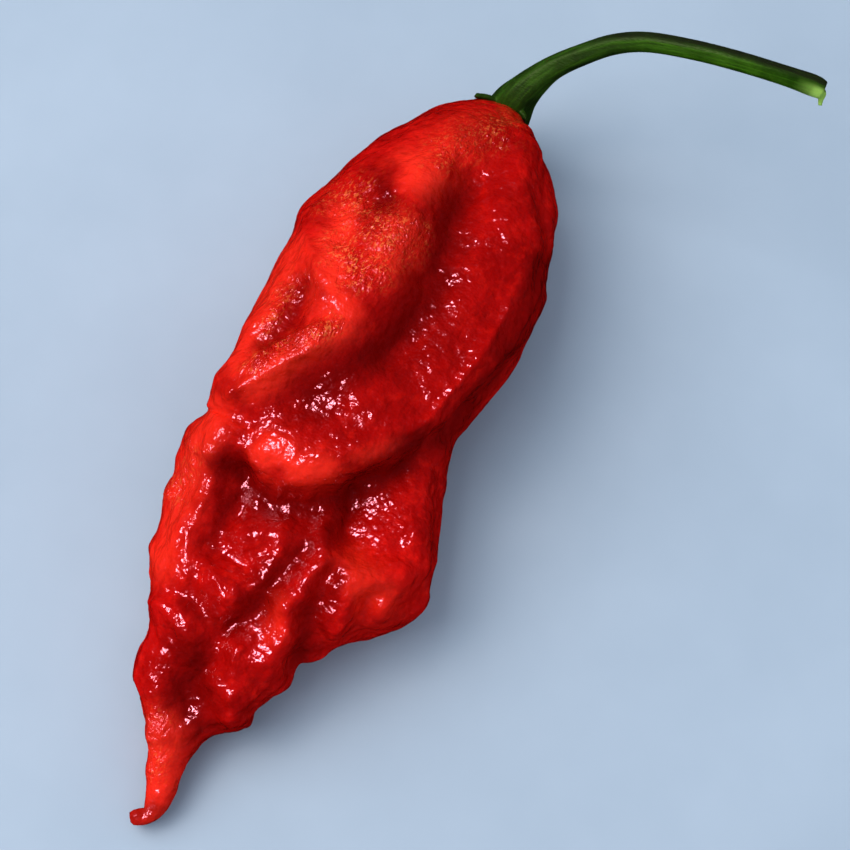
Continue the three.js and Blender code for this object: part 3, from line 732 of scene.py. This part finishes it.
def pod_skin():
    material, tree, shader = new_material("pod skin")
    where = millimetres(tree)
    bright_and_painted_light = attribute(tree, "bright_and_painted_light")
    deep_and_painted_shade = attribute(tree, "deep_and_painted_shade")
    crinkled = attribute(tree, "crinkled")
    feed(tree, shader.inputs["Base Color"], pod_colour(tree, where, bright_and_painted_light, deep_and_painted_shade, crinkled))
    # gloss: waxy, duller where the skin is brighter
    patches = noise_texture(tree, where, scale=1.4, detail=3, roughness=0.6)
    gloss = remap(tree, patches, 0.3, 0.7, 0.11, 0.18)
    gloss = math_node(tree, "ADD", gloss, product(tree, bright_and_painted_light, 0.07))
    feed(tree, shader.inputs["Roughness"], gloss)
    shader.inputs["Subsurface Weight"].default_value = 0.12
    shader.inputs["Subsurface Radius"].default_value = (1.0, 0.1, 0.04)
    shader.inputs["Subsurface Scale"].default_value = 0.001
    shader.inputs["Specular IOR Level"].default_value = 0.5
    shader.inputs["Specular Tint"].default_value = SKIN_GLEAM
    # puckers of about a millimetre, short wrinkles along the pod, a fine grain and the crinkled patches
    lengthwise = millimetres(tree, (1.0, 0.5, 1.0))
    pucker = noise_texture(tree, where, scale=0.95, detail=2, roughness=0.45)
    wrinkle = noise_texture(
        tree,
        lengthwise,
        scale=1.5,
        detail=2,
        roughness=0.6,
        distortion=0.3,
        kind="RIDGED_MULTIFRACTAL",
    )
    grain = noise_texture(tree, where, scale=6.5, detail=2, roughness=0.6)
    crinkle = noise_texture(tree, lengthwise, scale=2.4, detail=2, roughness=0.6, distortion=0.6)
    layers = [
        (pucker, 0.6, 0.7 * MM),
        (wrinkle, 0.18, 0.3 * MM),
        (grain, 0.15, 0.06 * MM),
        (product(tree, crinkle, crinkled), 0.9, 0.7 * MM),
    ]
    feed(tree, shader.inputs["Normal"], bumps(tree, layers))
    return material


def stem_green():
    material, tree, shader = new_material("stem green")
    where = millimetres(tree)
    broad = noise_texture(tree, where, scale=0.4, detail=3, roughness=0.6)
    # streaks that follow the stalk: long along it, and narrow across
    combine = tree.nodes.new("ShaderNodeCombineXYZ")
    feed(tree, combine.inputs["X"], product(tree, attribute(tree, "along"), 0.14))
    feed(tree, combine.inputs["Y"], product(tree, attribute(tree, "across"), 2.2))
    streaks = noise_texture(tree, combine.outputs["Vector"], scale=1.0, detail=3, roughness=0.6)
    colour = mix_colour(tree, remap(tree, broad, 0.35, 0.65), DEEP_GREEN, GREEN)
    colour = mix_colour(tree, remap(tree, streaks, 0.48, 0.66, 0, 0.75), colour, STREAK_GREEN)
    colour = mix_colour(tree, attribute(tree, "brown"), colour, STALK_BROWN)
    colour = mix_colour(tree, attribute(tree, "torn"), colour, TORN_GREEN)
    feed(tree, shader.inputs["Base Color"], colour)
    shader.inputs["Roughness"].default_value = 0.42
    shader.inputs["Specular IOR Level"].default_value = 0.08
    shader.inputs["Specular Tint"].default_value = STALK_GLEAM
    shader.inputs["Subsurface Weight"].default_value = 0.08
    shader.inputs["Subsurface Scale"].default_value = 0.0006
    long_grain = millimetres(tree, (0.5, 1.3, 1.3))
    grain = noise_texture(tree, long_grain, scale=4.0, detail=3, roughness=0.6)
    feed(tree, shader.inputs["Normal"], bumps(tree, [(grain, 0.4, 0.15 * MM)]))
    return material


def pale_surface():
    material, tree, shader = new_material("pale surface")
    where = millimetres(tree)
    soft = noise_texture(tree, where, scale=0.03, detail=4, roughness=0.6)
    colour = mix_colour(tree, remap(tree, soft, 0.3, 0.7), SURFACE_SHADE, SURFACE_PALE)
    feed(tree, shader.inputs["Base Color"], colour)
    shader.inputs["Roughness"].default_value = 0.75
    return material


# The pod


def fine_relief(p, normal, crinkled):
    """Puckers, short wrinkles along the pod and a grain, finer than the CAD skin holds."""
    lower_half = 1 - smooth(-12, 4, p[..., 1])
    puckers = octaves(p, PUCKER_SIZE, 2, 3.0) * (PUCKER_HEIGHT + LOWER_PUCKER_HEIGHT * lower_half)
    stretched = p * np.array([1.0, 0.35, 1.0])
    wrinkles = octaves(stretched, WRINKLE_SIZE, 2, 1.0) * WRINKLE_HEIGHT * (1 - np.abs(normal[..., 2]))
    grain = octaves(p, GRAIN_SIZE, 2, 8.0) * (GRAIN_HEIGHT + CRINKLE_HEIGHT * crinkled)
    return puckers + wrinkles + grain


def make_pod():
    rows = even_rows(ALONG)
    upper = np.pi * np.arange(UPPER_ROUND) / UPPER_ROUND
    lower = np.pi * (1 + np.arange(LOWER_ROUND) / LOWER_ROUND)
    angles = np.concatenate([upper, lower])
    row, angle = np.meshgrid(rows, angles, indexing="ij")
    p = pod_points(row, angle)
    normal = grid_normals(p)
    x, y = to_seen(p)
    # the zones of the skin have uneven edges, and fade where it turns away from the eye
    wander = octaves(p, WANDER_SIZE, 3, 5.0)
    small, large = 0.7 * wander, 0.9 * wander
    facing = smooth(-0.35, 0.1, np.einsum("ijk,ijk->ij", normal, unit(VIEWPOINT - p)))
    # the bright zone: partly the skin's own colour, partly painted light and painted glow
    bright_and_painted_light = skin_zone(BRIGHT_AND_PAINTED_LIGHT_SKIN, x + small, y + large) * facing
    # the dark zone: partly the skin's own deeper red, partly painted shade
    deep_and_painted_shade = skin_zone(DEEP_AND_PAINTED_SHADE_SKIN, x + large, y + small) * facing
    crinkled = skin_zone(CRINKLED_SKIN, x + small, y + large) * facing
    creases = crease_relief(CREASES, x + 0.25 * large, y + 0.25 * small) * facing
    taper = smooth(-43.5, -30, p[..., 1]) * 0.85 + 0.15  # little relief on the thin tail
    p = p + normal * ((fine_relief(p, normal, crinkled) + creases) * taper)[..., None]
    p[..., 2] = np.maximum(p[..., 2], 0)  # nothing goes below the surface that it lies on
    # each end closes in one point, a little past its last ring
    tip = p[0].mean(axis=0) + np.array([-0.3, 0, 0])
    crown = p[-1].mean(axis=0) + np.array([0, 0.15, 0])
    count = p.shape[0] * p.shape[1]
    points = np.concatenate([p.reshape(-1, 3), [tip, crown]])
    faces = ring_faces(p.shape[0], p.shape[1], count, count + 1)
    pod = mesh_object("pod_skin", points, faces, pod_skin())
    # the bright zone holds painted light and painted glow, the dark zone painted shade, each partly the
    # skin's own colour
    for name, zone in (("bright_and_painted_light", bright_and_painted_light), ("crinkled", crinkled), ("deep_and_painted_shade", deep_and_painted_shade)):
        float_attribute(pod, name, np.append(zone.ravel(), [0, 0]))
    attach(pod, "root")
    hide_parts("pod")
    return pod


# The stem


def tube(path, steps, sides, fluting=0.0):
    """Rings of points round a path whose last column is the radius, with lengthwise ribs."""
    at = np.linspace(0, len(path) - 1, steps)
    rows = along_rows(path, at)
    centre = from_seen(rows[:, 0], rows[:, 1], rows[:, 2])
    forward = unit(np.gradient(centre, axis=0))
    across = np.zeros_like(centre)
    side = np.array([1.0, 0.0, 0.0])
    for i, direction in enumerate(forward):
        side = side - direction * side.dot(direction)
        side = side / np.linalg.norm(side)
        across[i] = side
    other = np.cross(forward, across)
    angle = 2 * np.pi * np.arange(sides) / sides
    radius = rows[:, 3:4] * (1 + fluting * np.cos(RIB_COUNT * angle))
    ring = across[:, None] * np.cos(angle)[None, :, None] + other[:, None] * np.sin(angle)[None, :, None]
    return centre[:, None] + ring * radius[..., None]


def calyx_rings(skin, centre):
    """Rings of a thin toothed cup that follows the pod's shoulder."""
    angle = 2 * np.pi * np.arange(CALYX_SIDES) / CALYX_SIDES
    tooth = (1 - np.abs(np.sin(TOOTH_COUNT * (angle - FIRST_TOOTH) / 2))) ** TOOTH_POINT
    ragged = noise(angle * 3, np.full_like(angle, 4), np.full_like(angle, 9)) * RAGGEDNESS
    edge = CALYX_RADIUS + TOOTH_LENGTH * tooth + ragged

    def shoulder(x, z):
        beyond_pod = Vector((x, 80, z))
        place_hit = skin.ray_cast(beyond_pod, Vector((0, -1, 0)))[0]
        return place_hit.y

    def ring(share, lift):
        x, z = centre[0] + edge * share * np.cos(angle), centre[2] + edge * share * np.sin(angle)
        y = np.array([shoulder(*xz) for xz in zip(x, z)]) + lift + TOOTH_CURL * tooth * share**6
        return np.stack([x, y, z], -1)

    def thickness(share):
        return CALYX_THICKNESS * (0.55 + 0.6 * (1 - share))

    under = [ring(share, CALYX_BASE - CALYX_SINK) for share in CALYX_SHARES]
    over = [ring(share * 0.98, CALYX_BASE + thickness(share)) for share in reversed(CALYX_SHARES)]
    return np.array(under + over)


def closed_tube(rings):
    """Points and faces of rings closed by a point at each end."""
    rows, sides = rings.shape[:2]
    ends = [rings[0].mean(axis=0), rings[-1].mean(axis=0)]
    points = np.concatenate([rings.reshape(-1, 3), ends])
    return points, ring_faces(rows, sides, rows * sides, rows * sides + 1)


def joined(name, parts, voxel):
    """One closed mesh, in millimetres, from several closed ones that overlap."""
    points, faces = [], []
    for part_points, part_faces in parts:
        start = sum(len(q) for q in points)
        points.append(part_points)
        faces += [tuple(start + i for i in face) for face in part_faces]
    mesh = bpy.data.meshes.new(name)
    mesh.from_pydata(np.concatenate(points).tolist(), [], faces)
    obj = bpy.data.objects.new(name, mesh)
    bpy.context.scene.collection.objects.link(obj)
    remesh = obj.modifiers.new("remesh", "REMESH")
    remesh.mode = "VOXEL"
    remesh.voxel_size = voxel
    whole = obj.evaluated_get(bpy.context.evaluated_depsgraph_get()).to_mesh()
    grown = np.array([v.co[:] for v in whole.vertices])
    grown_faces = [tuple(f.vertices) for f in whole.polygons]
    bpy.data.objects.remove(obj)
    return grown, grown_faces


def make_stem(pod):
    corners = np.array([v.co[:] for v in pod.data.vertices]) / MM - DRAWING_ORIGIN
    skin = BVHTree.FromPolygons(corners.tolist(), [tuple(f.vertices) for f in pod.data.polygons])
    stalk = tube(STALK, STALK_STEPS, STALK_SIDES, STALK_FLUTING)
    fibre = tube(FIBRE, FIBRE_STEPS, FIBRE_SIDES)
    foot = from_seen(*STALK[0, :3])
    parts = [closed_tube(rings) for rings in (stalk, fibre, calyx_rings(skin, foot))]
    points, faces = joined("stem", parts, STEM_VOXEL)
    stem = mesh_object("stem_green", points, faces, stem_green())
    x, y = to_seen(points)
    distance, share = nearest_on(STALK[:, :2].tolist(), x, y)
    # brown on the outer side of the bend, on the calyx and, more faintly, on the lower stalk
    outer = smooth(0.1, 0.9, -distance) * smooth(0.3, 0.55, share)
    cup = 1 - smooth(0.0, 0.03, share)
    lower_stalk = 1 - smooth(0.4, 0.7, share)
    brown = np.maximum(np.maximum(outer * 0.85, cup * 0.75), 0.4 * lower_stalk)
    torn = smooth(0.86, 0.98, share) * smooth(-0.5, 0.2, distance)
    float_attribute(stem, "torn", torn * 0.9)
    float_attribute(stem, "along", share * STALK_LENGTH)
    float_attribute(stem, "across", distance)
    float_attribute(stem, "brown", brown)
    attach(stem, "root")
    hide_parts("stem_with_calyx")


# Camera, light and surface


def make_camera():
    back = np.array(
        [
            math.sin(AZIMUTH) * math.cos(ELEVATION),
            -math.cos(AZIMUTH) * math.cos(ELEVATION),
            math.sin(ELEVATION),
        ]
    )
    data = bpy.data.cameras.new("camera")
    data.lens = FOCAL_LENGTH
    data.sensor_width = FILM_WIDTH
    data.clip_start = 0.01
    data.clip_end = 10
    camera = bpy.data.objects.new("camera", data)
    bpy.context.scene.collection.objects.link(camera)
    camera.location = place(AIM) + back * CAMERA_DISTANCE
    camera.rotation_mode = "QUATERNION"
    camera.rotation_quaternion = Vector(-back).to_track_quat("-Z", "Y")
    bpy.context.scene.camera = camera


def area_light(name, direction, distance, size, power, colour):
    data = bpy.data.lights.new(name, "AREA")
    data.shape = "RECTANGLE"
    data.size, data.size_y = size
    data.energy = power
    data.color = colour
    light = bpy.data.objects.new(name, data)
    bpy.context.scene.collection.objects.link(light)
    towards = Vector(direction).normalized()
    light.location = LAMP_AIM + towards * distance
    light.rotation_euler = towards.to_track_quat("Z", "Y").to_euler()
    return light


def make_surroundings():
    bpy.ops.mesh.primitive_plane_add(size=SURFACE_SIZE)
    surface = bpy.context.object
    surface.name = "surface"
    surface.data.materials.append(pale_surface())
    surface.visible_glossy = False
    world = bpy.data.worlds.new("daylight")
    bpy.context.scene.world = world
    world.use_nodes = True
    background = world.node_tree.nodes["Background"]
    background.inputs["Color"].default_value = SKY_BLUE
    background.inputs["Strength"].default_value = SKY_STRENGTH
    world.cycles_visibility.glossy = False
    # a broad soft lamp for the shading and the shadow, and a smaller one for the highlights alone
    window = area_light(
        "window",
        direction=(-1.0, -0.35, 1.6),
        distance=0.7,
        size=(0.7, 0.7),
        power=4.8,
        colour=WINDOW_WHITE,
    )
    window.visible_glossy = False
    gleam = area_light(
        "gleam",
        direction=(-0.9, -0.44, 1.5),
        distance=0.6,
        size=(0.16, 0.22),
        power=7.5,
        colour=GLEAM_WHITE,
    )
    gleam.visible_diffuse = False
    bpy.context.scene.view_settings.view_transform = "Standard"


make_camera()
pod = make_pod()
make_stem(pod)
make_surroundings()
